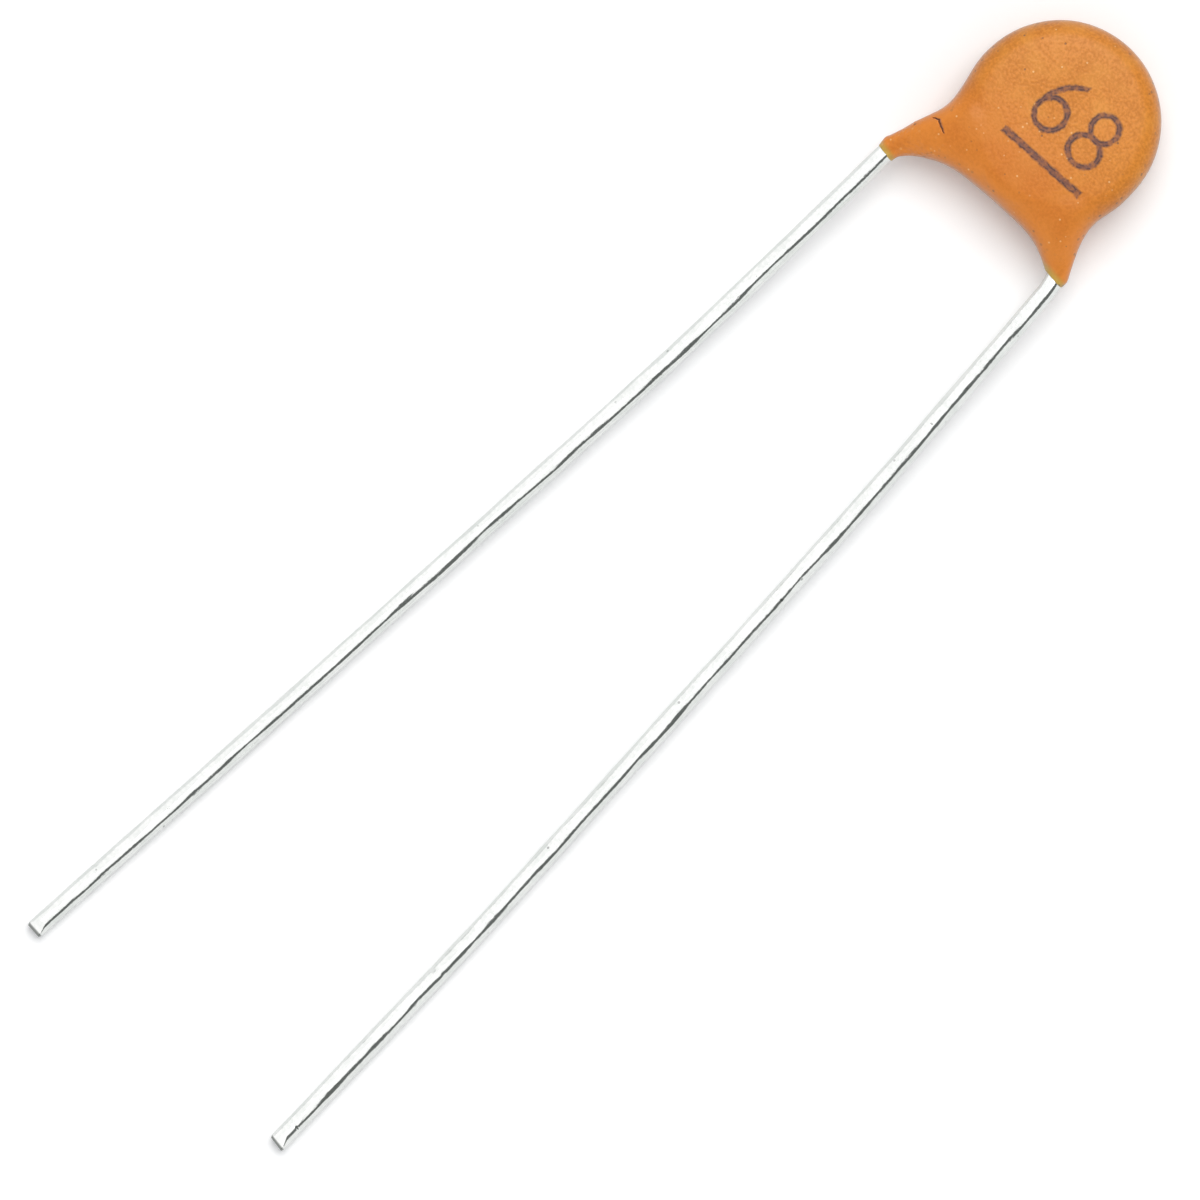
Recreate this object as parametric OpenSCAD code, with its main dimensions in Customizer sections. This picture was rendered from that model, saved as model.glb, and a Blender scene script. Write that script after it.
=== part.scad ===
// Disc ceramic capacitor with two wire leads, lying flat on a surface.
// Millimetres: X runs from lead to lead, Y from the lead tips to the disc, Z up from the surface.

/* [Ceramic element] */
// Diameter of the ceramic disc
ceramic_d = 4.3; // [3.6:0.1:5]
// Thickness of the ceramic disc
ceramic_t = 0.5; // [0.3:0.05:0.9]
// Bare ceramic around each silvered face
electrode_margin = 0.25; // [0.1:0.05:0.5]
// Thickness of the silver on each face
electrode_t = 0.04; // [0.03:0.01:0.08]

/* [Solder] */
// Solder between the silver and the wire
solder_film = 0.04; // [0.02:0.01:0.1]
// Width of the solder fillet across the wire
solder_w = 1.3; // [0.9:0.1:2]
// Solder past the end of the wire
solder_cap = 0.18; // [0.1:0.02:0.3]

/* [Leads] */
// Diameter of the tinned wire
wire_d = 0.5; // [0.4:0.02:0.65]
// End of each wire on its face: out from the disc's middle line, and above the disc's centre
lead_top = [0.5, 1.1]; // [0:0.1:1.5]
// Bend below the body, front lead: out from the middle line, and below the disc's centre
front_bend = [2.53, 3.4]; // [2:0.01:4]
// Bend below the body, rear lead
rear_bend = [2.7, 2.8]; // [2:0.01:4]
// Height of each wire off the disc's middle plane at the bend
leg_z = 0; // [0:0.05:0.2]
// Length of the front lead past its bend
front_length = 29.09; // [20:0.01:32]
// Length of the rear lead past its bend
rear_length = 29.22; // [20:0.01:32]
// Outward lean of the front lead in its first quarter, its middle half and its last quarter, in degrees
front_splay = [0.96, 3.04, 3.33]; // [0:0.01:8]
// Outward lean of the rear lead
rear_splay = [4.59, 3.01, 1.41]; // [0:0.01:8]
// Radius of the bend at the disc's edge and below the body, to the wire's axis
bend_r = 0.8; // [0.5:0.1:1.5]
// Radius of the slow curves along the free length
sway_r = 120; // [60:10:200]
// Share of the way down to the surface that a lead has come at each slow curve
sag = [0.45, 0.92]; // [0.2:0.01:0.98]
// Length of the pinched end left by the cutter
nip_l = 0.3; // [0.1:0.05:0.6]
// Thickness left at the pinched end
nip_t = 0.16; // [0.08:0.02:0.3]

/* [Coating] */
// Coating over the wire on each face
coat_face = 0.26; // [0.15:0.01:0.5]
// Coating around the edge of the ceramic
coat_rim = 0.4; // [0.25:0.05:0.8]
// Rounding of the rim
rim_r = 0.6; // [0.4:0.05:0.8]
// Fullness of the rim: 2 is a round edge, more is squarer
rim_power = 2.4; // [2:0.1:3]
// Diameter of the level middle of each face
level_d = 2.2; // [1:0.1:3]
// Fall of each face from its level middle to the rim
face_fall = 0.12; // [0:0.02:0.2]
// Depth of the sleeve round each wire below the level middle of the face
sleeve_sink = 0.1; // [0.08:0.01:0.12]
// Coating on the wire at its bend
sleeve_end = 0.06; // [0.03:0.01:0.1]
// Run of the coating along the wire past its bend
coat_run_l = 0.1; // [0.04:0.02:0.14]
// Blend between sleeve and disc, on the side away from the other lead
blend_out = 0.73; // [0.3:0.01:1.2]
// Blend between sleeve and disc, on the side towards the other lead
blend_in = 2.03; // [0.5:0.01:2.5]

/* [Hidden] */
$fa = 6;
$fs = 0.06;

wire_r = wire_d / 2;
body_r = ceramic_d / 2 + coat_rim;
body_t = ceramic_t + 2 * (electrode_t + solder_film + wire_d + coat_face);
electrode_d = ceramic_d - 2 * electrode_margin;
// Height of the silvered face and of a wire's axis on it, from the disc's middle plane
face_z = ceramic_t / 2 + electrode_t;
wire_z = face_z + solder_film + wire_r;
// Distance from the disc's centre at which a wire turns down past the ceramic
edge_r = ceramic_d / 2 + wire_d / 5;
// Bends are this much fatter than the wire, so that the straight runs end inside them
bend_swell = wire_d / 250;
// Overlap of a straight run into its bend
run_lap = wire_d / 25;
// Radius of the sleeve of coating on a wire, over the disc and at the bend
sleeve_r0 = wire_r + coat_face - sleeve_sink;
sleeve_r1 = wire_r + sleeve_end;
// Half of the straight part of a sleeve's height where it leaves the disc
sleeve_z = body_t / 2 - face_fall - sleeve_r0;

// A lead: side of the middle line, face of the disc, bend, length and lean
front = [-1, 1, front_bend, front_length, front_splay];
rear = [1, -1, rear_bend, rear_length, rear_splay];

function unit(v) = v / norm(v);
function mix(a, b, t) = a + (b - a) * t;
function clamp(t) = min(max(t, 0), 1);
function ease(t) = clamp(t) * clamp(t) * (3 - 2 * clamp(t));

// Way along a free lead, leaning outward by an angle
function lean(side, a) = [side * sin(a), -cos(a)];

// Point at a distance r from the disc's centre on the plan line from a to b
function crossing(a, b, r) =
    let (d = b - a, h = a * d / (d * d))
    a + d * (sqrt(h * h + (r * r - a * a) / (d * d)) - h);

function flat(p) = [p.x, p.y];
function lift(p, z) = [p.x, p.y, z];

// Corner points of a lead, from its end on the ceramic to its cut tip
function route(lead) =
    let (
        side = lead[0],
        top = [side * lead_top.x, lead_top.y],
        leg = [side * lead[2].x, -lead[2].y],
        edge = crossing(top, leg, edge_r),
        a = leg + lead[3] / 4 * lean(side, lead[4][0]),
        b = a + lead[3] / 2 * lean(side, lead[4][1]),
        tip = b + lead[3] / 4 * lean(side, lead[4][2]),
        z0 = lead[1] * leg_z,
        z1 = wire_r - body_t / 2
    )
    [lift(top, lead[1] * wire_z), lift(edge, lead[1] * wire_z), lift(leg, z0),
     lift(a, mix(z0, z1, sag[0])), lift(b, mix(z0, z1, sag[1])), lift(tip, z1)];

route_bends = [0, bend_r, bend_r, sway_r, sway_r, 0];

// Length of wire that a bend takes up on each side of its corner
function take_up(p, bends, i) =
    i == 0 || i == len(p) - 1 ? 0
    : bends[i] * tan(acos(unit(p[i] - p[i - 1]) * unit(p[i + 1] - p[i])) / 2);

// Puts a shape that stands on the XY plane at a, standing along the way d
module stand_along(a, d) {
    translate(a)
        rotate([0, acos(d.z / norm(d)), atan2(d.y, d.x)])
            children();
}

// Round wire through corner points, with a rounded bend at each inner corner
module bent_wire(p, bends) {
    last = len(p) - 1;
    for (i = [0 : last - 1]) {
        d = unit(p[i + 1] - p[i]);
        a = p[i] + d * (take_up(p, bends, i) - (i > 0 ? run_lap : 0));
        b = p[i + 1] - d * (take_up(p, bends, i + 1) - (i + 1 < last ? run_lap : 0));
        stand_along(a, d)
            cylinder(h = norm(b - a), r = wire_r);
    }
    for (i = [1 : last - 1])
        elbow(p[i - 1], p[i], p[i + 1], bends[i]);
}

module elbow(a, b, c, r) {
    u = unit(b - a);
    v = unit(c - b);
    turn = acos(u * v);
    axis = unit(cross(u, v));
    out = cross(u, axis);
    o = b - r * tan(turn / 2) * u - r * out;
    multmatrix([[out.x, u.x, axis.x, o.x], [out.y, u.y, axis.y, o.y], [out.z, u.z, axis.z, o.z]])
        rotate_extrude(angle = turn)
            translate([r, 0])
                circle(r = wire_r + bend_swell);
}

// Lead, pinched to a blunt wedge at its tip
module lead_wire(lead) {
    p = route(lead);
    difference() {
        bent_wire(p, route_bends);
        stand_along(p[5], p[5] - p[4])
            for (turn = [0, 180])
                rotate(turn)
                    rotate([90, 0, 0])
                        linear_extrude(height = 2 * wire_d, center = true)
                            polygon([[nip_t / 2, 0], [nip_t / 2, wire_d], [wire_d, wire_d],
                                     [wire_d, -nip_l * (wire_d - nip_t / 2) / (wire_r - nip_t / 2)]]);
    }
}

// Part of a lead that the body holds
module held_wire(lead) {
    p = route(lead);
    bent_wire([p[0], p[1], p[2], p[3]], [0, bend_r, bend_r, 0]);
}

// Space past the end of the coating on a lead
module past_coat(lead) {
    p = route(lead);
    d = unit(p[3] - p[2]);
    stand_along(p[2] + coat_run_l * d, d)
        cylinder(h = wire_d, r = wire_d);
}

// Solder heaped along a wire on its silvered face, with hollow flanks
module solder_heap(lead) {
    p = route(lead);
    d = p[1] - p[0];
    h = solder_film + wire_r;
    hollow_r = solder_w / 2.4;
    intersection() {
        translate([p[0].x, p[0].y, lead[1] * face_z])
            rotate([0, 0, atan2(d.y, d.x)])
                mirror([0, 0, lead[1] < 0 ? 1 : 0])
                    translate([-solder_cap, 0, 0])
                        rotate([90, 0, 90])
                            linear_extrude(height = norm(d) + solder_cap)
                                difference() {
                                    translate([-solder_w / 2, 0])
                                        square([solder_w, h]);
                                    for (side = [-1, 1])
                                        translate([side * solder_w / 2, hollow_r + 1.5 * solder_film])
                                            circle(r = hollow_r);
                                }
        cylinder(h = body_t, d = electrode_d - wire_d / 5, center = true);
    }
}

module silver(face) {
    translate([0, 0, face > 0 ? ceramic_t / 2 : -face_z])
        cylinder(h = electrode_t, d = electrode_d);
}

// Signed distance from the rounded disc of coating
function disc_gap(q) =
    let (
        r = norm(flat(q)),
        fall = face_fall * pow(max(r - level_d / 2, 0) / (body_r - level_d / 2), 2),
        a = r - (body_r - rim_r),
        b = abs(q.z) - (body_t / 2 - fall - rim_r)
    )
    pow(pow(max(a, 0), rim_power) + pow(max(b, 0), rim_power), 1 / rim_power)
    + min(max(a, b), 0) - rim_r;

// Share of the way from a to b that lies nearest to q
function share(q, a, b) = clamp((q - a) * (b - a) / ((b - a) * (b - a)));

// Signed distance from the sleeve on a wire with route p: a fin where it leaves the disc, round at the bend
function sleeve_gap(q, p) =
    let (
        t = share(flat(q), flat(p[1]), flat(p[2])),
        off = norm(flat(q - mix(p[1], p[2], t))),
        tall = max(abs(q.z - t * p[2].z) - (1 - t) * sleeve_z, 0)
    )
    norm([off, tall]) - mix(sleeve_r0, sleeve_r1, ease(t));

// Adds the coating round one wire, with route p, to what has been dipped so far
function with_leg(gap, q, p) =
    let (
        sleeve = sleeve_gap(q, p),
        away = unit(flat(p[2] - p[1])),
        out = sign(p[2].x) * (flat(q - p[1]) * [-away.y, away.x]),
        wide = mix(blend_in, blend_out, ease(0.5 + out / (2 * wire_d))),
        blend = wide * max(1 - pow(2 * q.z / body_t, 4), 0.1),
        h = max(blend - abs(gap - sleeve), 0)
    )
    min(gap, sleeve) - h * h / (4 * blend);

function coat_gap(q, f, r) = with_leg(with_leg(disc_gap(q), q, f), q, r);

// Height of the widest line of the coating at a plan point
function leg_pull(q, p) =
    let (
        t = share(q, flat(p[1]), flat(p[2])),
        off = norm(q - flat(mix(p[1], p[2], t)))
    )
    t * p[2].z * ease(0.5 + (norm(q) - body_r - off + wire_r) / (2.4 * wire_d));
function waist(q, f, r) = leg_pull(q, f) + leg_pull(q, r);

// Halves the span between inside and outside until the surface is found
function edge_at(way, lo, hi, f, r, n) =
    let (m = (lo + hi) / 2, q = m * way)
    n == 0 ? m
    : coat_gap(lift(q, waist(q, f, r)), f, r) < 0 ? edge_at(way, m, hi, f, r, n - 1)
    : edge_at(way, lo, m, f, r, n - 1);
function height_at(q, lo, hi, f, r, n) =
    let (m = (lo + hi) / 2)
    n == 0 ? round(m * 1e5) / 1e5
    : coat_gap(lift(q, m), f, r) < 0 ? height_at(q, m, hi, f, r, n - 1)
    : height_at(q, lo, m, f, r, n - 1);

// Directions round the body, close together across a leg
function fan(middle, half, n) =
    [for (i = [0 : n - 1]) let (u = 2 * i / n - 1) middle + half * sign(u) * pow(abs(u), 1.5)];
function spread(a, b, n) = [for (i = [0 : n - 1]) mix(a, b, i / n)];

// Outside of the coating: rings of points from the upper middle over the rim to the lower middle
module coating_skin() {
    f = route(front);
    r = route(rear);
    half = 26;
    fa = atan2(f[2].y, f[2].x);
    ra = atan2(r[2].y, r[2].x);
    around = concat(fan(fa, half, 36), spread(fa + half, ra - half, 8),
                    fan(ra, half, 36), spread(ra + half, fa - half + 360, 40));
    n = len(around);
    ways = [for (a = around) [cos(a), sin(a)]];
    reach = [for (w = ways) edge_at(w, 0, 3 * body_r, f, r, 24)];
    // Rings at the same radius all round as far as the rim, then rings that spread out to the edge
    turn = 0.97 * body_r;
    bow = body_r - rim_r;
    radii = concat([level_d / 2, mix(level_d / 2, bow, 0.5)],
                   [for (a = [0 : 13 : 65]) mix(bow, turn, sin(a) / sin(65))]);
    outer = [for (a = [14, 28, 42, 56, 67, 76, 83]) sin(a)];
    plan = concat([for (d = radii) [for (w = ways) d * w]],
                  [for (t = outer) [for (i = [0 : n - 1]) mix(turn, reach[i], t) * ways[i]]]);
    rim = [for (i = [0 : n - 1]) let (q = ways[i] * reach[i]) lift(q, waist(q, f, r))];
    upper = [for (ring = plan) [for (q = ring) lift(q, height_at(q, waist(q, f, r), body_t, f, r, 24))]];
    lower = [for (ring = plan) [for (q = ring) lift(q, height_at(q, waist(q, f, r), -body_t, f, r, 24))]];
    rings = concat(upper, [rim], [for (j = [len(lower) - 1 : -1 : 0]) lower[j]]);
    points = concat([[0, 0, body_t / 2]], [for (ring = rings) each ring], [[0, 0, -body_t / 2]]);
    end = len(points) - 1;
    faces = concat(
        [for (i = [0 : n - 1]) [0, 1 + (i + 1) % n, 1 + i]],
        [for (j = [0 : len(rings) - 2], i = [0 : n - 1])
            each halves(points, 1 + j * n + i, 1 + j * n + (i + 1) % n, n)],
        [for (i = [0 : n - 1]) [end, end - n + i, end - n + (i + 1) % n]]);
    polyhedron(points, faces);
}

// Two triangles between points a and b of a ring and those below them in the next, n further on
function halves(points, a, b, n) =
    norm(points[a] - points[b + n]) < norm(points[b] - points[a + n])
    ? [[a, b, b + n], [a, b + n, a + n]]
    : [[a, b, a + n], [b, b + n, a + n]];

// Moves the disc's centre to its place over the footprint
module lie_down() {
    f = route(front)[5];
    r = route(rear)[5];
    translate([-(f.x + r.x) / 2, -(body_r + min(f.y, r.y)) / 2, body_t / 2])
        children();
}

module coating()
    color([0.88, 0.56, 0.25])
        difference() {
            coating_skin();
            cylinder(h = ceramic_t, d = ceramic_d, center = true);
            for (face = [1, -1])
                silver(face);
            for (lead = [front, rear]) {
                solder_heap(lead);
                held_wire(lead);
                past_coat(lead);
            }
        }

module ceramic_disc()
    color([0.72, 0.66, 0.55])
        cylinder(h = ceramic_t, d = ceramic_d, center = true);

module front_electrode()
    color([0.8, 0.8, 0.78])
        silver(1);

module rear_electrode()
    color([0.8, 0.8, 0.78])
        silver(-1);

module solder_fillet(lead)
    difference() {
        solder_heap(lead);
        held_wire(lead);
    }

module front_solder()
    color([0.6, 0.62, 0.63])
        solder_fillet(front);

module rear_solder()
    color([0.6, 0.62, 0.63])
        solder_fillet(rear);

module front_lead()
    color([0.82, 0.83, 0.83])
        lead_wire(front);

module rear_lead()
    color([0.82, 0.83, 0.83])
        lead_wire(rear);

lie_down() coating();
lie_down() ceramic_disc();
lie_down() front_electrode();
lie_down() rear_electrode();
lie_down() front_solder();
lie_down() rear_solder();
lie_down() front_lead();
lie_down() rear_lead();
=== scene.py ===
import bmesh
import bpy
import numpy as np
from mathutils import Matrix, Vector


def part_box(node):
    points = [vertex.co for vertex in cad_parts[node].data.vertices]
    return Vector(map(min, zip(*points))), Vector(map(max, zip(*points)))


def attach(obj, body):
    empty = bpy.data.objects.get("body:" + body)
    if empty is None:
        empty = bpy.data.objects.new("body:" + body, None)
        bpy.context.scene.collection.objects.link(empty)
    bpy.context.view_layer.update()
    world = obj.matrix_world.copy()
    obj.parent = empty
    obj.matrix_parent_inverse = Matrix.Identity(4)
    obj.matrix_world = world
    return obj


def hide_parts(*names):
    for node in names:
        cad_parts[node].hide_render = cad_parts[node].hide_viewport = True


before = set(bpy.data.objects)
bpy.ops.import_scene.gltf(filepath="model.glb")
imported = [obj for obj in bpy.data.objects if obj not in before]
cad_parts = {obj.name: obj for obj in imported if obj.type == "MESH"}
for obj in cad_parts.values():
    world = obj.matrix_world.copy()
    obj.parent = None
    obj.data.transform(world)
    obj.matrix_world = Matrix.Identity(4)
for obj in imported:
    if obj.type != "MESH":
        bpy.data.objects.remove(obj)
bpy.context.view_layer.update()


# Ceramic disc
# The dielectric in the middle of the body: a thin round of fired ceramic, pressed from powder and
# kilned, so it is cloudy, dry to the touch and finely pored. The coating seals it in.
def put(tree, kind, inputs=None, **settings):
    """One shader node: settings are its own, inputs are numbers, colours or other nodes' sockets."""
    made = tree.nodes.new(kind)
    for key, value in settings.items():
        setattr(made, key, value)
    for key, value in (inputs or {}).items():
        if isinstance(value, bpy.types.NodeSocket):
            tree.links.new(value, made.inputs[key])
        else:
            made.inputs[key].default_value = value
    return made


def maths(tree, operation, a, b=0.0, c=0.0):
    return put(tree, "ShaderNodeMath", {0: a, 1: b, 2: c}, operation=operation).outputs[0]


def vectors(tree, operation, a, b=(0, 0, 0), output="Vector"):
    return put(tree, "ShaderNodeVectorMath", {0: a, 1: b}, operation=operation).outputs[output]


def in_mm(tree, start=(0, 0, 0)):
    """The place on an object, in mm from a starting point."""
    place = put(tree, "ShaderNodeTexCoord").outputs["Object"]
    return vectors(tree, "MULTIPLY", vectors(tree, "SUBTRACT", place, start), (1000, 1000, 1000))


def noise(tree, place, scale, detail, roughness=0.5):
    inputs = {"Vector": place, "Scale": scale, "Detail": detail, "Roughness": roughness}
    return put(tree, "ShaderNodeTexNoise", inputs).outputs["Fac"]


def carried(tree, name):
    """A value that the mesh carries at each of its points."""
    return put(tree, "ShaderNodeAttribute", attribute_name=name).outputs["Fac"]


def tint(tree, share, a, b):
    """Colour a where share is 0 and b where it is 1."""
    return put(tree, "ShaderNodeMix", {0: share, 6: a, 7: b}, data_type="RGBA").outputs[2]


def ramp(tree, value, low, high, to_low=0.0, to_high=1.0):
    """Smooth step of a value from low to high."""
    return put(tree, "ShaderNodeMapRange", {0: value, 1: low, 2: high, 3: to_low, 4: to_high},
               interpolation_type="SMOOTHSTEP").outputs[0]


def start_group(name, inputs):
    """A node group with named numbers as its inputs and one mask as its output."""
    group = bpy.data.node_groups.new(name, "ShaderNodeTree")
    for label, value in inputs.items():
        socket = group.interface.new_socket(label, in_out="INPUT", socket_type="NodeSocketFloat")
        socket.default_value = value
    group.interface.new_socket("Mask", in_out="OUTPUT", socket_type="NodeSocketFloat")
    return group, put(group, "NodeGroupInput").outputs, put(group, "NodeGroupOutput").inputs["Mask"]


# Cloudiness, as fired, printed or cast surfaces have: two sizes of patch, the small ones fainter
cloud, given, mask = start_group(
    "cloud", {"Patches per mm": 2.0, "Grains per mm": 12.0, "Grain share": 0.4})
place = in_mm(cloud)
patches = noise(cloud, place, given["Patches per mm"], 2.0)
grains = noise(cloud, place, given["Grains per mm"], 1.0)
mixed = put(cloud, "ShaderNodeMix", {0: given["Grain share"], 2: patches, 3: grains}).outputs[0]
cloud.links.new(ramp(cloud, mixed, 0.3, 0.7), mask)

# Pores and pinholes: round specks scattered over a surface, few or many
pores, given, mask = start_group(
    "pores", {"Cells per mm": 5.0, "Speck size": 0.2, "Share of cells": 0.5})
cells = put(pores, "ShaderNodeTexVoronoi", {"Vector": in_mm(pores), "Scale": given["Cells per mm"]})
chosen = put(pores, "ShaderNodeSeparateColor", {0: cells.outputs["Color"]})
near = ramp(pores, maths(pores, "DIVIDE", cells.outputs["Distance"], given["Speck size"]), 1.0, 0.5)
kept = maths(pores, "LESS_THAN", chosen.outputs[0], given["Share of cells"])
size = maths(pores, "MULTIPLY_ADD", chosen.outputs[1], 0.7, 0.3)
pores.links.new(maths(pores, "MULTIPLY", maths(pores, "MULTIPLY", near, kept), size), mask)


def start_material(name):
    material = bpy.data.materials.new(name)
    material.use_nodes = True
    return material, material.node_tree, material.node_tree.nodes["Principled BSDF"]


def use_group(tree, group, **values):
    made = put(tree, "ShaderNodeGroup", node_tree=group)
    for key, value in values.items():
        made.inputs[key.replace("_", " ").capitalize()].default_value = value
    return made.outputs[0]


def emboss(tree, shader, height, distance_mm, strength=1.0):
    inputs = {"Height": height, "Distance": distance_mm * 0.001, "Strength": strength}
    tree.links.new(put(tree, "ShaderNodeBump", inputs).outputs[0], shader.inputs["Normal"])


def dress(piece, material):
    piece.data.materials.clear()
    piece.data.materials.append(material)


fired_ceramic, tree, shader = start_material("fired_ceramic")
clouds = use_group(tree, cloud, Patches_per_mm=1.5, Grains_per_mm=14.0, Grain_share=0.45)
holes = use_group(tree, pores, Cells_per_mm=7.0, Speck_size=0.3, Share_of_cells=0.5)
colour = tint(tree, clouds, (0.46, 0.38, 0.27, 1), (0.60, 0.52, 0.40, 1))
tree.links.new(tint(tree, holes, colour, (0.20, 0.15, 0.10, 1)), shader.inputs["Base Color"])
tree.links.new(ramp(tree, clouds, 0.0, 1.0, 0.62, 0.78), shader.inputs["Roughness"])
emboss(tree, shader, maths(tree, "SUBTRACT", clouds, holes), 0.006)
dress(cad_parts["ceramic_disc"], fired_ceramic)

disc_low, disc_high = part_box("ceramic_disc")
disc_centre = np.array((disc_low + disc_high) / 2)


# Silver electrodes
# A round of silver paste printed on each face of the ceramic and fired on. It is dull, off-white
# metal with the faint weave of the printing screen in it.
fired_silver, tree, shader = start_material("fired_silver")
clouds = use_group(tree, cloud, Patches_per_mm=2.5, Grains_per_mm=20.0, Grain_share=0.5)
weave = put(tree, "ShaderNodeTexMagic",
            {"Vector": in_mm(tree), "Scale": 52.0, "Distortion": 0.3}, turbulence_depth=1)
shader.inputs["Metallic"].default_value = 1.0
colour = tint(tree, clouds, (0.66, 0.65, 0.62, 1), (0.80, 0.79, 0.76, 1))
tree.links.new(colour, shader.inputs["Base Color"])
tree.links.new(ramp(tree, clouds, 0.0, 1.0, 0.42, 0.58), shader.inputs["Roughness"])
emboss(tree, shader, maths(tree, "MULTIPLY_ADD", weave.outputs["Fac"], 0.4, clouds), 0.003)
for name in ("front_electrode", "rear_electrode"):
    dress(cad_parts[name], fired_silver)


# Solder
# Tin solder that ran along each wire where it lies on the silver and set there, with hollow flanks.
# Its skin froze from many points, so it is mottled between bright and grey and slightly wrinkled.
set_solder, tree, shader = start_material("set_solder")
clouds = use_group(tree, cloud, Patches_per_mm=3.5, Grains_per_mm=11.0, Grain_share=0.35)
holes = use_group(tree, pores, Cells_per_mm=4.0, Speck_size=0.25, Share_of_cells=0.2)
shader.inputs["Metallic"].default_value = 1.0
colour = tint(tree, clouds, (0.48, 0.49, 0.50, 1), (0.70, 0.71, 0.72, 1))
tree.links.new(tint(tree, holes, colour, (0.16, 0.15, 0.13, 1)), shader.inputs["Base Color"])
tree.links.new(ramp(tree, clouds, 0.0, 1.0, 0.46, 0.24), shader.inputs["Roughness"])
emboss(tree, shader, maths(tree, "SUBTRACT", clouds, holes), 0.01)
for name in ("front_solder", "rear_solder"):
    dress(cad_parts[name], set_solder)


# Leads
# Two pieces of hot-tinned round wire. Each is soldered along one face of the disc, bends at the edge
# of the coating, runs out straight by hand's measure and ends where side cutters pinched it off.
body_t = 2.18
wire_r = 0.25
wire_rise = 0.58
wire_lowest = wire_r - body_t / 2
silver_end = (0.5, 1.1)
disc_edge_r = 2.25
sag = (0, 0.45, 0.92, 1)
front_lead = dict(side=-1, face=1, bend=(2.53, 3.4), length=29.09, splay=(0.96, 3.04, 3.33))
rear_lead = dict(side=1, face=-1, bend=(2.7, 2.8), length=29.22, splay=(4.59, 3.01, 1.41))


def lead_corners(side, face, bend, length, splay):
    """Corner points of a lead in mm from the disc's centre, from its end on the silver to its tip."""
    top = np.array([side * silver_end[0], silver_end[1]])
    leg = np.array([side * bend[0], -bend[1]])
    run = leg - top
    h = top @ run / (run @ run)
    edge = top + run * (np.sqrt(h * h + (disc_edge_r ** 2 - top @ top) / (run @ run)) - h)
    ways = [np.array([side * np.sin(a), -np.cos(a)]) for a in np.radians(splay)]
    first = leg + length / 4 * ways[0]
    second = first + length / 2 * ways[1]
    tip = second + length / 4 * ways[2]
    heights = [face * wire_rise] * 2 + [wire_lowest * share for share in sag]
    return np.column_stack([np.array([top, edge, leg, first, second, tip]), heights])


def unit(v):
    return v / np.linalg.norm(v, axis=-1, keepdims=True)


def rounded_line(corners, radii=(0.8, 1.6, 120.0, 120.0), arc_points=24):
    """Points along the corners' line, with an arc of its own radius at each inner corner."""
    points = [corners[0]]
    for before, here, after, radius in zip(corners, corners[1:], corners[2:], radii):
        u, v = unit(here - before), unit(after - here)
        turn = np.arccos(u @ v)
        inward = unit(v - u * (u @ v))
        start = here - radius * np.tan(turn / 2) * u
        for a in np.linspace(0, turn, arc_points):
            points.append(start + radius * (np.sin(a) * u + (1 - np.cos(a)) * inward))
    return np.array(points + [corners[-1]])


def waves(count, longest, shortest, seed):
    """A slow random field over points in mm, made of plane waves, between about -1 and 1."""
    sum_of_sizes = 1.6
    rng = np.random.default_rng(seed)
    ways = unit(rng.normal(size=(count, 3)))
    lengths = np.exp(rng.uniform(np.log(shortest), np.log(longest), count))
    phases = rng.uniform(0, 2 * np.pi, count)
    sizes = np.sqrt(lengths) / np.sqrt(lengths).sum() * sum_of_sizes

    def field(p):
        total = np.zeros(len(p))
        for way, length, phase, size in zip(ways, lengths, phases, sizes):
            total += size * np.sin(p @ way * (2 * np.pi / length) + phase)
        return total
    return field


def make_mesh(name, points, faces):
    """A mesh object from points in mm from the disc's centre."""
    mesh = bpy.data.meshes.new(name)
    mesh.from_pydata((np.asarray(points) * 0.001 + disc_centre).tolist(), [], faces)
    made = bpy.data.objects.new(name, mesh)
    bpy.context.scene.collection.objects.link(made)
    return made


def smooth(made, sharpest):
    """Shades a mesh smoothly, apart from edges that turn by more degrees than sharpest."""
    made.data.polygons.foreach_set("use_smooth", np.ones(len(made.data.polygons), dtype=bool))
    made.data.set_sharp_from_angle(angle=np.radians(sharpest))


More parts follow.
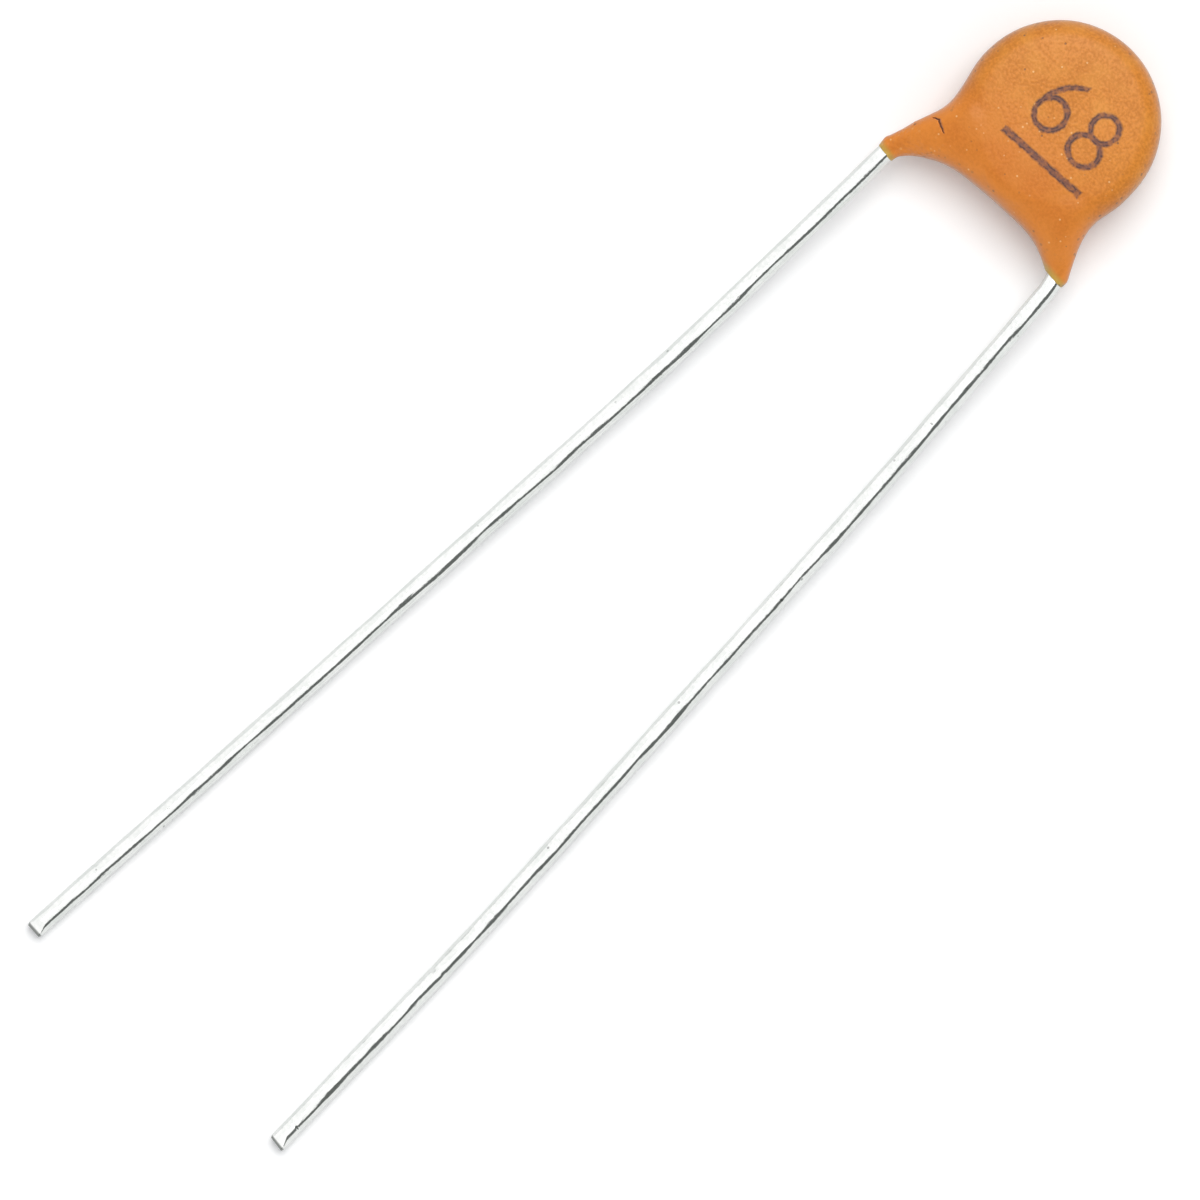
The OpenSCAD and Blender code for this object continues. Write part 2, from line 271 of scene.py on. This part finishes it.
def drawn_wire(name, lead, elbow, marks, slant, seed):
    """A lead as a tube: drawn round, tinned unevenly, marked by tools and pinched at its tip."""
    sides, tin = 48, 0.012
    pinched_half, pinch_length, slant_length = 0.08, 0.36, 0.5
    worn_share, worn_length = 0.16, 0.14

    # The wire's middle line, with rings closer together at the tip and at each tool mark
    corners = lead_corners(**lead)
    corners[2] += (elbow[0], elbow[1], 0)
    line = rounded_line(corners)
    reach = np.concatenate([[0], np.cumsum(np.linalg.norm(np.diff(line, axis=0), axis=1))])
    total = reach[-1]
    spots = []
    for y, *_ in marks:
        order = np.argsort(line[:, 1] - y)
        spots.append(np.interp(0, (line[:, 1] - y)[order], reach[order]))
    along = [np.linspace(0, total - 0.6, 440), np.linspace(total - 0.58, total, 30)]
    along += [spot + np.linspace(-0.3, 0.3, 31) for spot in spots]
    along = np.unique(np.concatenate(along).round(4))
    middle = np.column_stack([np.interp(along, reach, line[:, i]) for i in range(3)])
    way = unit(np.gradient(middle, along, axis=0))
    across = unit(np.cross(way, (0, 0, 1)))
    rise = np.cross(across, way)

    # The radius all round and all along: lobes of tin, then the tool marks, then the tip
    turn = np.arange(sides) * 2 * np.pi / sides
    s, a = np.meshgrid(along, turn, indexing="ij")
    rng = np.random.default_rng(seed)
    uneven = np.zeros_like(s)
    for lobes, pace in ((2, 2.2), (2, 0.9), (3, 1.6), (3, 0.5),
                        (4, 1.1), (5, 0.7), (6, 0.35), (8, 0.25)):
        drift = np.sin(s / pace / 1.7 + rng.uniform(0, 6.3))
        lobed = np.sin(lobes * a + rng.uniform(0, 6.3) + 1.2 * drift)
        uneven += tin / lobes * lobed * np.sin(s / pace + rng.uniform(0, 6.3))
    radius = wire_r - tin / 2 + np.clip(uneven, -tin, tin / 2)
    for spot, (y, facing, wide, deep, long) in zip(spots, marks):
        aside = np.angle(np.exp(1j * (a - np.radians(facing))))
        dent = deep * np.exp(-(aside / np.radians(wide)) ** 2)
        radius -= dent * np.exp(-((s - spot) / long) ** 4)
    left = total - s
    radius *= 1 - worn_share * np.clip(1 - left / worn_length, 0, 1) ** 2
    u, v = radius * np.cos(a), radius * np.sin(a)
    half = pinched_half + (wire_r - pinched_half) * np.sqrt(np.clip(left / pinch_length, 0, 9))
    v = np.clip(v, -half, half)
    shear = (u + wire_r) * np.tan(np.radians(slant)) * np.clip(1 - left / slant_length, 0, 1)
    points = middle[:, None] + u[..., None] * across[:, None] + v[..., None] * rise[:, None]
    points = points - shear[..., None] * way[:, None]

    # The tube, closed at both ends by a smaller ring and a fan
    first, end = points[0].mean(0), points[-1].mean(0)
    rings = [first + 0.9 * (points[0] - first), *points, end + 0.9 * (points[-1] - end)]
    n = len(rings)
    here = np.arange(n * sides).reshape(n, sides)
    beside = np.roll(here, -1, axis=1)
    faces = np.stack([here[1:], beside[1:], beside[:-1], here[:-1]], -1).reshape(-1, 4).tolist()
    faces += [(i, k, n * sides) for i, k in zip(here[0].tolist(), beside[0].tolist())]
    faces += [(k, i, n * sides + 1) for i, k in zip(here[-1].tolist(), beside[-1].tolist())]
    made = make_mesh(name, np.concatenate([*rings, [first], [end]]), faces)

    # What the material reads: the distance to the tip, and a map along and round the wire
    stations = np.concatenate([[0], along, [total]])
    to_tip = np.concatenate([np.repeat(total - stations, sides), [total, 0]])
    made.data.attributes.new("to_tip", "FLOAT", "POINT").data.foreach_set("value", to_tip)
    grain = made.data.uv_layers.new(name="wire")
    corner = np.empty(len(made.data.loops), dtype=np.int64)
    made.data.loops.foreach_get("vertex_index", corner)
    ring = np.minimum(corner // sides, n - 1)
    angle = (corner % sides) / sides
    face_of = np.repeat(np.arange(len(faces)), [len(face) for face in faces])
    highest = np.zeros(len(faces))
    np.maximum.at(highest, face_of, angle)
    angle = np.where((highest[face_of] > 0.9) & (angle < 0.1), angle + 1, angle)
    grain.data.foreach_set("uv", np.column_stack([stations[ring], angle]).ravel())
    smooth(made, 40)
    return made


tinned_wire, tree, shader = start_material("tinned_wire")
lay = put(tree, "ShaderNodeUVMap", uv_map="wire").outputs[0]
drawn = put(tree, "ShaderNodeMapping", {"Vector": lay, "Scale": (1.1, 26.0, 1.0)}).outputs[0]
drawn = noise(tree, drawn, 1.0, 3.0, 0.6)
ripples = put(tree, "ShaderNodeMapping", {"Vector": lay, "Scale": (5.5, 13.0, 1.0)}).outputs[0]
ripples = noise(tree, ripples, 1.0, 2.0)
spots = use_group(tree, pores, Cells_per_mm=4.2, Speck_size=0.2, Share_of_cells=0.14)
clouds = use_group(tree, cloud, Patches_per_mm=1.1, Grains_per_mm=9.0, Grain_share=0.4)
# The last 0.1 mm before the tip is darkened: partly the bare cut face, partly painted shade along the
# pinched end.
cut_face_and_shade = ramp(tree, carried(tree, "to_tip"), 0.10, 0.05)
colour = tint(tree, clouds, (0.80, 0.82, 0.80, 1), (0.93, 0.93, 0.92, 1))
colour = tint(tree, spots, colour, (0.42, 0.43, 0.42, 1))
tree.links.new(tint(tree, cut_face_and_shade, colour, (0.24, 0.25, 0.24, 1)), shader.inputs["Base Color"])
shader.inputs["Metallic"].default_value = 1.0
tree.links.new(maths(tree, "MULTIPLY_ADD", drawn, 0.12, 0.06), shader.inputs["Roughness"])
height = maths(tree, "MULTIPLY_ADD", ripples, 2.6, maths(tree, "SUBTRACT", drawn, spots))
emboss(tree, shader, height, 0.0018)

# Each tool mark: where it lies along the part, which way it faces, its width in degrees, depth, length
wires = []
for name, lead, elbow, slant, seed, marks in (
        ("front_wire", front_lead, (0.0, 0.0), 0.0, 5,
         [(-26.74, 50, 34, 0.014, 0.05), (-23.3, 62, 30, 0.012, 0.06),
          (-22.4, 70, 22, 0.010, 0.04), (-30.19, 20, 26, 0.012, 0.05)]),
        ("rear_wire", rear_lead, (0.05, -0.11), 9.0, 11,
         [(-26.08, 35, 40, 0.03, 0.06), (-25.95, 130, 30, 0.012, 0.05),
          (-24.05, 95, 60, 0.01, 0.04), (-25.0, 48, 26, 0.012, 0.7),
          (-31.27, 112, 26, 0.022, 0.035)])):
    wire = drawn_wire(name, lead, elbow, marks, slant, seed)
    dress(wire, tinned_wire)
    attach(wire, "root")
    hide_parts(name.replace("wire", "lead"))
    wires.append(wire)


# Coating
# The body was dipped in liquid resin leads upward and cured, so the resin is a smooth round pillow over
# the disc, is drawn up into a web and a sleeve round each wire, and thins out where it stops.
body_r = 2.55
rim_r = 0.6
rim_power = 2.4
level_r = 1.1
face_fall = 0.12
fin_half = 0.56
sleeve_run_on = 0.4
shoulder, shoulder_height, shoulder_spread = (2.45, -0.6), 0.05, 0.16


def ease(t):
    t = np.clip(t, 0, 1)
    return t * t * (3 - 2 * t)


def share_along(q, a, b):
    return np.clip((q - a) @ (b - a) / ((b - a) @ (b - a)), 0, 1)


def with_sleeve(gap, q, corners, girth, outer, inner):
    """Adds the resin round one wire to what is there, as a fin that is as tall as the body where it
    starts and round where it ends, blended in widely on the side of the other wire."""
    b, c, d = corners[1:4]
    t = share_along(q[:, :2], b[:2], c[:2])
    off = np.linalg.norm(q[:, :2] - (b + t[:, None] * (c - b))[:, :2], axis=1)
    tall = np.maximum(np.abs(q[:, 2] - c[2] * t) - fin_half * (1 - t), 0)
    sleeve = np.hypot(off, tall) - np.interp(ease(t), (0, 0.35, 0.7, 1), girth)
    on_wire = c + np.clip((q - c) @ unit(d - c), 0, sleeve_run_on)[:, None] * unit(d - c)
    sleeve = np.minimum(sleeve, np.linalg.norm(q - on_wire, axis=1) - girth[-1])
    away = unit((c - b)[:2])
    out = np.sign(c[0]) * ((q - b)[:, :2] @ np.array([-away[1], away[0]]))
    wide = inner + (outer - inner) * ease(0.5 + out)
    blend = wide * np.maximum(1 - (2 * q[:, 2] / body_t) ** 4, 0.1)
    h = np.maximum(blend - np.abs(gap - sleeve), 0)
    return np.minimum(gap, sleeve) - h * h / (4 * blend)


def resin_gap(q):
    """Signed distance from the resin's outside, in mm."""
    r = np.linalg.norm(q[:, :2], axis=1)
    fall = face_fall * (np.maximum(r - level_r, 0) / (body_r - level_r)) ** 2
    a = r - (body_r - rim_r)
    b = np.abs(q[:, 2]) - (body_t / 2 - fall - rim_r)
    rim = (np.maximum(a, 0) ** rim_power + np.maximum(b, 0) ** rim_power) ** (1 / rim_power)
    gap = rim + np.minimum(np.maximum(a, b), 0) - rim_r
    aside = (q[:, 0] - shoulder[0]) ** 2 + (q[:, 1] - shoulder[1]) ** 2
    gap -= shoulder_height * np.exp(-aside / shoulder_spread)
    gap = with_sleeve(gap, q, lead_corners(**front_lead), (0.41, 0.425, 0.39, 0.30), 0.73, 2.0)
    gap = with_sleeve(gap, q, lead_corners(**rear_lead), (0.40, 0.36, 0.325, 0.30), 0.66, 2.0)
    return gap


swell = waves(30, 3.2, 0.9, 3)
peel = waves(40, 0.7, 0.25, 8)


def past_end(q):
    """How far a point lies beyond the ragged ends of the resin on the two wires, in mm."""
    reach, half_width = 1.6, 0.3
    past = np.full(len(q), -9.0)
    for lead, run, skew in ((front_lead, 0.25, 0.1), (rear_lead, 0.1, 0.14)):
        corners = lead_corners(**lead)
        way = unit(corners[3] - corners[2])
        side = np.array([-way[1], way[0], 0])
        from_bend = q - corners[2]
        near = np.linalg.norm(from_bend[:, :2], axis=1) < reach
        beyond = from_bend @ way - run - skew * np.clip(from_bend @ side, -half_width, half_width)
        past = np.where(near, np.maximum(past, beyond), past)
    return past


def cured_gap(q):
    """The resin's outside with the slow unevenness and the rounded, ragged ends of the cured coat."""
    shrink, swell_height, peel_height = 0.010, 0.008, 0.0022
    fray, thinning, thinning_length, end_round = 0.03, 0.032, 0.3, 0.05
    gap = resin_gap(q) + shrink + swell_height * swell(q) + peel_height * peel(q)
    past = past_end(q) - fray * peel(q * 0.8)
    gap += thinning * ease(1 + past / thinning_length)
    h = np.maximum(end_round - np.abs(gap - past), 0)
    return np.maximum(gap, past) + h * h / (4 * end_round)


def slope(field, q, step=0.004):
    return np.column_stack([(field(q + d) - field(q - d)) / (2 * step) for d in np.eye(3) * step])


def settle(field, q, rounds=4, longest=0.05):
    """Moves points on to the surface where field is nought."""
    for _ in range(rounds):
        n = slope(field, q)
        move = np.clip(field(q), -longest, longest)[:, None] * n
        q = q - move / np.maximum((n * n).sum(1), 0.2)[:, None]
    return q


def skin_over(field, low, high, step):
    """Points and four-sided faces over a field's surface, a point in each cell that it crosses."""
    axes = [np.arange(a, b + step, step) for a, b in zip(low, high)]
    grid = np.stack(np.meshgrid(*axes, indexing="ij"), -1)
    value = field(grid.reshape(-1, 3)).reshape(grid.shape[:3])
    inside = value < 0
    cells = np.array(value.shape) - 1
    count, place = np.zeros(cells), np.zeros((*cells, 3))
    for axis in range(3):
        for j, k in ((0, 0), (0, 1), (1, 0), (1, 1)):
            corner = np.insert([j, k], axis, 0)
            ends = []
            for far in (0, 1):
                corner[axis] = far
                ends.append(value[tuple(slice(c, c + n) for c, n in zip(corner, cells))])
            a, b = ends
            cut = (a < 0) != (b < 0)
            t = np.where(cut, a / np.where(cut, a - b, 1), 0)
            count += cut
            for i in range(3):
                place[..., i] += cut * (t if i == axis else corner[i])
    used = count > 0
    number = np.full(cells, -1)
    number[used] = np.arange(used.sum())
    points = (np.argwhere(used) + place[used] / count[used][:, None]) * step + np.array(low)
    faces = []
    for axis in range(3):
        front_half = [slice(1, -1)] * 3
        back_half = [slice(1, -1)] * 3
        front_half[axis], back_half[axis] = slice(0, -1), slice(1, None)
        spots = np.argwhere(inside[tuple(front_half)] != inside[tuple(back_half)])
        spots[:, [i for i in range(3) if i != axis]] += 1
        one, two = np.eye(3, dtype=int)[(axis + 1) % 3], np.eye(3, dtype=int)[(axis + 2) % 3]
        quads = np.stack([number[tuple((spots - d).T)] for d in (one + two, two, 0 * one, one)], 1)
        leaving = inside[tuple(spots.T)]
        faces.append(np.where(leaving[:, None], quads, quads[:, ::-1]))
    return points, np.concatenate(faces)


points, faces = skin_over(lambda q: np.maximum(resin_gap(q), past_end(q)),
                          (-2.95, -3.75, -1.15), (3.12, 2.65, 1.15), 0.045)
points = settle(cured_gap, points)
coat = make_mesh("resin_coat", points, faces.tolist())

# The crack across the shoulder of the front lead's sleeve, with a hairline running on from it
crack = [(-2.33, -2.19), (-2.26, -2.135), (-2.21, -2.125), (-2.165, -2.10), (-2.125, -2.14),
         (-2.08, -2.155), (-2.02, -2.19), (-1.96, -2.205), (-1.90, -2.245), (-1.83, -2.26)]
crack_width = 0.028
crack_depth = 0.05


def from_line(q, line):
    """Distance in plan from a line of points, and the share of its length at the nearest point."""
    best, where = np.full(len(q), 9.0), np.zeros(len(q))
    for i, (a, b) in enumerate(zip(line, line[1:])):
        a, b = np.array(a), np.array(b)
        t = share_along(q[:, :2], a, b)
        d = np.linalg.norm(q[:, :2] - (a + t[:, None] * (b - a)), axis=1)
        where = np.where(d < best, (i + t) / (len(line) - 1), where)
        best = np.minimum(best, d)
    return best, where


shape = bmesh.new()
shape.from_mesh(coat.data)
for around in (0.2, 0.14):
    shape.verts.ensure_lookup_table()
    q = (np.array([v.co for v in shape.verts]) - disc_centre) * 1000
    close = (from_line(q, crack)[0] < around) & (q[:, 2] > 0)
    edges = [e for e in shape.edges if close[e.verts[0].index] and close[e.verts[1].index]]
    bmesh.ops.subdivide_edges(shape, edges=edges, cuts=1, use_grid_fill=True)
    shape.verts.index_update()
bmesh.ops.triangulate(shape, faces=[f for f in shape.faces if len(f.verts) > 4])
shape.to_mesh(coat.data)
shape.free()


def points_of(made):
    flat = np.empty(len(made.data.vertices) * 3)
    made.data.vertices.foreach_get("co", flat)
    return (flat.reshape(-1, 3) - disc_centre) * 1000


def in_crack(q):
    """1 in the middle of the crack, 0 away from it."""
    off, where = from_line(q, crack)
    width = crack_width * np.sqrt(np.clip(np.sin(np.pi * np.clip(where, 0.02, 0.98)), 0, 1))
    return np.where(q[:, 2] > 0, np.exp(-(off / width) ** 2), 0.0)


q = settle(cured_gap, points_of(coat), 2)
q = q - (crack_depth * in_crack(q))[:, None] * unit(slope(cured_gap, q))
coat.data.vertices.foreach_set("co", (q * 0.001 + disc_centre).ravel())

# Room inside the coat for what it was dipped over
sealed = ("ceramic_disc", "front_electrode", "rear_electrode", "front_solder", "rear_solder")
hollows = []
for inner in [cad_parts[name] for name in sealed] + wires:
    core = bpy.data.objects.new("core_" + inner.name, inner.data.copy())
    bpy.context.scene.collection.objects.link(core)
    shape = bmesh.new()
    shape.from_mesh(core.data)
    bmesh.ops.remove_doubles(shape, verts=shape.verts, dist=1e-8)
    shape.to_mesh(core.data)
    shape.free()
    core.data.materials.clear()
    cut = coat.modifiers.new(core.name, "BOOLEAN")
    cut.operation, cut.solver, cut.object = "DIFFERENCE", "MANIFOLD", core
    hollows.append(core)
bpy.context.view_layer.update()
evaluated = coat.evaluated_get(bpy.context.evaluated_depsgraph_get())
hollowed = bpy.data.meshes.new_from_object(evaluated)
coat.modifiers.clear()

# The cuts leave a loose sliver, faces folded on themselves and a pinched edge, which are taken out
shape = bmesh.new()
shape.from_mesh(hollowed)
whole, ahead = set(), [max(shape.faces, key=lambda face: face.calc_area())]
while ahead:
    face = ahead.pop()
    if face not in whole:
        whole.add(face)
        ahead += [near for side in face.edges for near in side.link_faces]
slivers = [face for face in shape.faces if face not in whole]
bmesh.ops.delete(shape, geom=slivers, context="FACES")
bmesh.ops.remove_doubles(shape, verts=shape.verts, dist=4e-7)
bmesh.ops.dissolve_degenerate(shape, edges=shape.edges, dist=2e-7)
bmesh.ops.triangulate(shape, faces=shape.faces[:])
twins = {}
for face in shape.faces:
    twins.setdefault(frozenset(face.verts), []).append(face)
folds = [face for pair in twins.values() if len(pair) > 1 for face in pair]
bmesh.ops.delete(shape, geom=folds, context="FACES")
pinched = [side for side in shape.edges if len(side.link_faces) > 2]
bmesh.ops.collapse(shape, edges=pinched)
shape.to_mesh(hollowed)
shape.free()
coat.data = hollowed
for core in hollows:
    bpy.data.objects.remove(core)

# What the material reads: the crack, the distance to the coat's ends, and how far the surface leans
q = points_of(coat)
lean = 1 - np.abs(unit(slope(cured_gap, q))[:, 2])
for label, value in (("crack", in_crack(q)), ("to_end", -past_end(q)), ("steep", lean)):
    coat.data.attributes.new(label, "FLOAT", "POINT").data.foreach_set("value", value)
smooth(coat, 50)

cured_resin, tree, shader = start_material("cured_resin")
spot = in_mm(tree, disc_centre.tolist())


def ring_off(tree, spot, centre, radii):
    """Distance in plan from an oval line."""
    moved = vectors(tree, "SUBTRACT", spot, (*centre, 0))
    drawn = vectors(tree, "MULTIPLY", moved, (1 / radii[0], 1 / radii[1], 0))
    off = maths(tree, "SUBTRACT", vectors(tree, "LENGTH", drawn, output="Value"), 1.0)
    return maths(tree, "MULTIPLY", maths(tree, "ABSOLUTE", off), sum(radii) / 2)


def offset_along(tree, spot, centre, way):
    """Distance of a point from centre, measured along a way."""
    moved = vectors(tree, "SUBTRACT", spot, (*centre, 0))
    return vectors(tree, "DOT_PRODUCT", moved, (*way, 0), output="Value")


# The printed value: two numerals and a bar under them, stamped in thin brown ink
stroke_half = 0.068
bar_centre, bar_half, bar_half_length = (0.375, -1.045), 0.085, 1.18
bar_way = np.array([2.57, 0.15]) / np.hypot(2.57, 0.15)
six, eight = (-0.30, 0.29), (0.94, 0.25)
bowl = (six[0], six[1] - 0.33)
stroke = ring_off(tree, spot, (bowl[0] + 0.85, bowl[1]), (1.25, 1.25))
stroke = maths(tree, "MAXIMUM", stroke, offset_along(tree, spot, (six[0] + 0.2, six[1]), (1, 0)))
stroke = maths(tree, "MAXIMUM", stroke, offset_along(tree, spot, bowl, (0, -1)))
for centre, radii in ((bowl, (0.41, 0.42)), ((eight[0], eight[1] + 0.38), (0.35, 0.37)),
                      ((eight[0], eight[1] - 0.36), (0.42, 0.39))):
    stroke = maths(tree, "MINIMUM", stroke, ring_off(tree, spot, centre, radii))
bar_along = maths(tree, "ABSOLUTE", offset_along(tree, spot, bar_centre, bar_way))
bar_off = offset_along(tree, spot, bar_centre, (-bar_way[1], bar_way[0]))
bar = maths(tree, "MAXIMUM", maths(tree, "ABSOLUTE", bar_off),
            maths(tree, "SUBTRACT", bar_along, bar_half_length))
print_off = maths(tree, "MINIMUM", maths(tree, "SUBTRACT", stroke, stroke_half),
                  maths(tree, "SUBTRACT", bar, bar_half))
frayed = maths(tree, "SUBTRACT", noise(tree, spot, 7.0, 3.0), 0.5)
print_off = maths(tree, "MULTIPLY_ADD", frayed, 0.09, print_off)
place = put(tree, "ShaderNodeSeparateXYZ", {0: spot}).outputs
top_side = ramp(tree, place["Z"], 0.7, 0.8)
inked = maths(tree, "MULTIPLY", ramp(tree, print_off, 0.045, -0.03), top_side)
blotch = noise(tree, spot, 9.0, 2.0)
inked = maths(tree, "MULTIPLY", inked, ramp(tree, blotch, 0.3, 0.55, 0.7, 1.0))
squeezed = maths(tree, "MULTIPLY", ramp(tree, print_off, -0.06, -0.02),
                 ramp(tree, blotch, 0.35, 0.6))

# The resin's colour: mottled, with painted shade towards the leads and on the rim, painted light on the
# slopes to the leads, thin and yellowish at the ends, then the specks, painted highlights and the
# painted shade in the crack
clouds = use_group(tree, cloud, Patches_per_mm=0.8, Grains_per_mm=13.0, Grain_share=0.7)
pinholes = use_group(tree, pores, Cells_per_mm=3.4, Speck_size=0.13, Share_of_cells=0.42)
grime = use_group(tree, pores, Cells_per_mm=5.5, Speck_size=0.3, Share_of_cells=0.45)
# Pale specks: painted highlights, as glints on tiny bumps.
painted_glints = use_group(tree, pores, Cells_per_mm=5.2, Speck_size=0.17, Share_of_cells=0.22)
# Lighter spots by the front lead: painted highlights, as on the wrinkled skin there.
bump_highlights = use_group(tree, pores, Cells_per_mm=7.5, Speck_size=0.36, Share_of_cells=0.3)
steep, to_end, split = (carried(tree, name) for name in ("steep", "to_end", "crack"))
grime = maths(tree, "MULTIPLY", grime, ramp(tree, steep, 0.06, 0.5))
by_front_lead = maths(tree, "MULTIPLY", ramp(tree, to_end, 1.5, 0.8),
                      ramp(tree, place["X"], -1.2, -1.9))
bump_highlights = maths(tree, "MULTIPLY", bump_highlights, by_front_lead)
streaks = ramp(tree, noise(tree, spot, 1.3, 3.0), 0.42, 0.68, 0.0, 0.4)
# Painted shade: the face turns darker and redder towards the leads, where less light falls on it.
shade_towards_leads = ramp(tree, place["Y"], 0.3, -1.9, 0.0, 0.5)
# Painted light: a lighter orange on the slopes down to the leads, lifting the shade they fall into.
light_on_lead_slopes = maths(tree, "MULTIPLY", ramp(tree, steep, 0.02, 0.2),
                ramp(tree, place["Y"], -0.9, -1.8, 0.0, 0.5))
ink = tint(tree, squeezed, (0.17, 0.055, 0.03, 1), (0.045, 0.014, 0.012, 1))
colour = tint(tree, clouds, (0.53, 0.163, 0.004, 1), (0.705, 0.240, 0.017, 1))
for share, over in ((streaks, (0.76, 0.305, 0.037, 1)),
                    (shade_towards_leads, (0.61, 0.145, 0.003, 1)),
                    (light_on_lead_slopes, (0.84, 0.262, 0.02, 1)),
                    # painted shade: the steepest walls of the rim darkened to a grey-brown
                    (ramp(tree, steep, 0.55, 1.0, 0.0, 0.3), (0.30, 0.15, 0.06, 1)),
                    (ramp(tree, to_end, 0.24, 0.03, 0.0, 0.85), (0.50, 0.35, 0.06, 1)),
                    (maths(tree, "MULTIPLY", painted_glints, 0.6), (0.95, 0.66, 0.30, 1)),
                    (maths(tree, "MULTIPLY", pinholes, 0.75), (0.16, 0.07, 0.03, 1)),
                    (maths(tree, "MULTIPLY", grime, 0.7), (0.14, 0.075, 0.04, 1)),
                    (maths(tree, "MULTIPLY", bump_highlights, 0.5), (0.84, 0.46, 0.15, 1)),
                    (inked, ink),
                    # painted shade inside the crack: its groove darkened to near black
                    (ramp(tree, split, 0.25, 0.7), (0.13, 0.036, 0.008, 1))):
    colour = tint(tree, share, colour, over)
tree.links.new(colour, shader.inputs["Base Color"])
tree.links.new(ramp(tree, clouds, 0.0, 1.0, 0.50, 0.40), shader.inputs["Roughness"])
shader.inputs["Specular IOR Level"].default_value = 0.36
shader.inputs["Sheen Weight"].default_value = 0.38
shader.inputs["Sheen Roughness"].default_value = 0.5
wrinkles = maths(tree, "MULTIPLY", noise(tree, spot, 4.5, 2.0), by_front_lead)
height = maths(tree, "SUBTRACT", clouds, maths(tree, "MULTIPLY", pinholes, 2.0))
emboss(tree, shader, maths(tree, "MULTIPLY_ADD", wrinkles, 24.0, height), 0.004, 0.7)
dress(coat, cured_resin)
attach(coat, "root")
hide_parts("coating")


# Table
# The plain white sheet that the part lies on, matt and far larger than the picture. The camera sees it
# a little brighter than the part and the mirror-like wires do, as in a bright product photograph.
bpy.ops.mesh.primitive_grid_add(x_subdivisions=4, y_subdivisions=4, size=1.2, location=(0, 0, -2e-6))
table = bpy.context.object
table.name = "table"
white_sheet, tree, shader = start_material("white_sheet")
clouds = use_group(tree, cloud, Patches_per_mm=0.3, Grains_per_mm=4.0, Grain_share=0.3)
ray = put(tree, "ShaderNodeLightPath").outputs
colour = tint(tree, clouds, (0.975, 0.975, 0.975, 1), (0.99, 0.99, 0.99, 1))
colour = tint(tree, ray["Is Glossy Ray"], colour, (0.82, 0.83, 0.82, 1))
colour = tint(tree, ray["Is Diffuse Ray"], colour, (0.6, 0.6, 0.6, 1))
tree.links.new(colour, shader.inputs["Base Color"])
shader.inputs["Roughness"].default_value = 0.9
shader.inputs["Specular IOR Level"].default_value = 0.0
shader.inputs["Emission Color"].default_value = (1, 1, 1, 1)
glow = maths(tree, "MULTIPLY", ray["Is Camera Ray"], 0.06)
tree.links.new(glow, shader.inputs["Emission Strength"])
dress(table, white_sheet)


# Light
# A broad soft lamp from the upper left of the picture, even fill from all round, and for reflections
# a white room with a dark gap beside the camera.
lamp = bpy.data.lights.new("soft_lamp", "SUN")
lamp.energy = 1.75
lamp.angle = np.radians(45)
lamp.color = (1.0, 0.995, 0.985)
lamp_way = Vector((0.18, -0.356, -0.9165))
soft_lamp = bpy.data.objects.new("soft_lamp", lamp)
soft_lamp.rotation_euler = lamp_way.to_track_quat("-Z", "Y").to_euler()
bpy.context.scene.collection.objects.link(soft_lamp)

room = bpy.data.worlds.new("room")
room.use_nodes = True
tree = room.node_tree
toward = put(tree, "ShaderNodeTexCoord").outputs["Generated"]
way = put(tree, "ShaderNodeSeparateXYZ", {0: toward}).outputs
ray = put(tree, "ShaderNodeLightPath").outputs
lean = maths(tree, "ARCTAN2", way["X"], way["Z"])
gap = maths(tree, "MULTIPLY", ramp(tree, lean, 0.40, 0.52), ramp(tree, lean, 1.14, 1.0))
dim = maths(tree, "MULTIPLY", ramp(tree, lean, 1.0, 1.2), ramp(tree, lean, 2.1, 1.8))
mirrored = tint(tree, dim, (1.12, 1.12, 1.12, 1), (0.91, 0.93, 0.92, 1))
mirrored = tint(tree, gap, mirrored, (0.13, 0.14, 0.135, 1))
fill = tint(tree, way["Z"], (0.40, 0.408, 0.42, 1), (0.55, 0.56, 0.575, 1))
low_right = vectors(tree, "DOT_PRODUCT", toward, (0.8, -0.6, 0), output="Value")
fill = tint(tree, ramp(tree, low_right, 0.1, 0.9, 0.0, 0.55), fill, (1, 1, 1, 1))
seen = tint(tree, ray["Is Glossy Ray"], fill, mirrored)
seen = tint(tree, ray["Is Camera Ray"], seen, (1, 1, 1, 1))
tree.links.new(seen, tree.nodes["Background"].inputs["Color"])
bpy.context.scene.world = room


# Camera
# A long lens straight above the part, turned so that the leads run down to the lower left of the
# picture. It stands so far off that it sees almost no perspective.
sight = bpy.data.cameras.new("camera")
sight.lens = 720
sight.clip_start = 0.01
camera = bpy.data.objects.new("camera", sight)
camera.location = (0.000137, -0.001617, 0.601)
camera.rotation_euler = (0, 0, np.radians(45))
bpy.context.scene.collection.objects.link(camera)
bpy.context.scene.camera = camera
bpy.context.scene.view_settings.view_transform = "Standard"
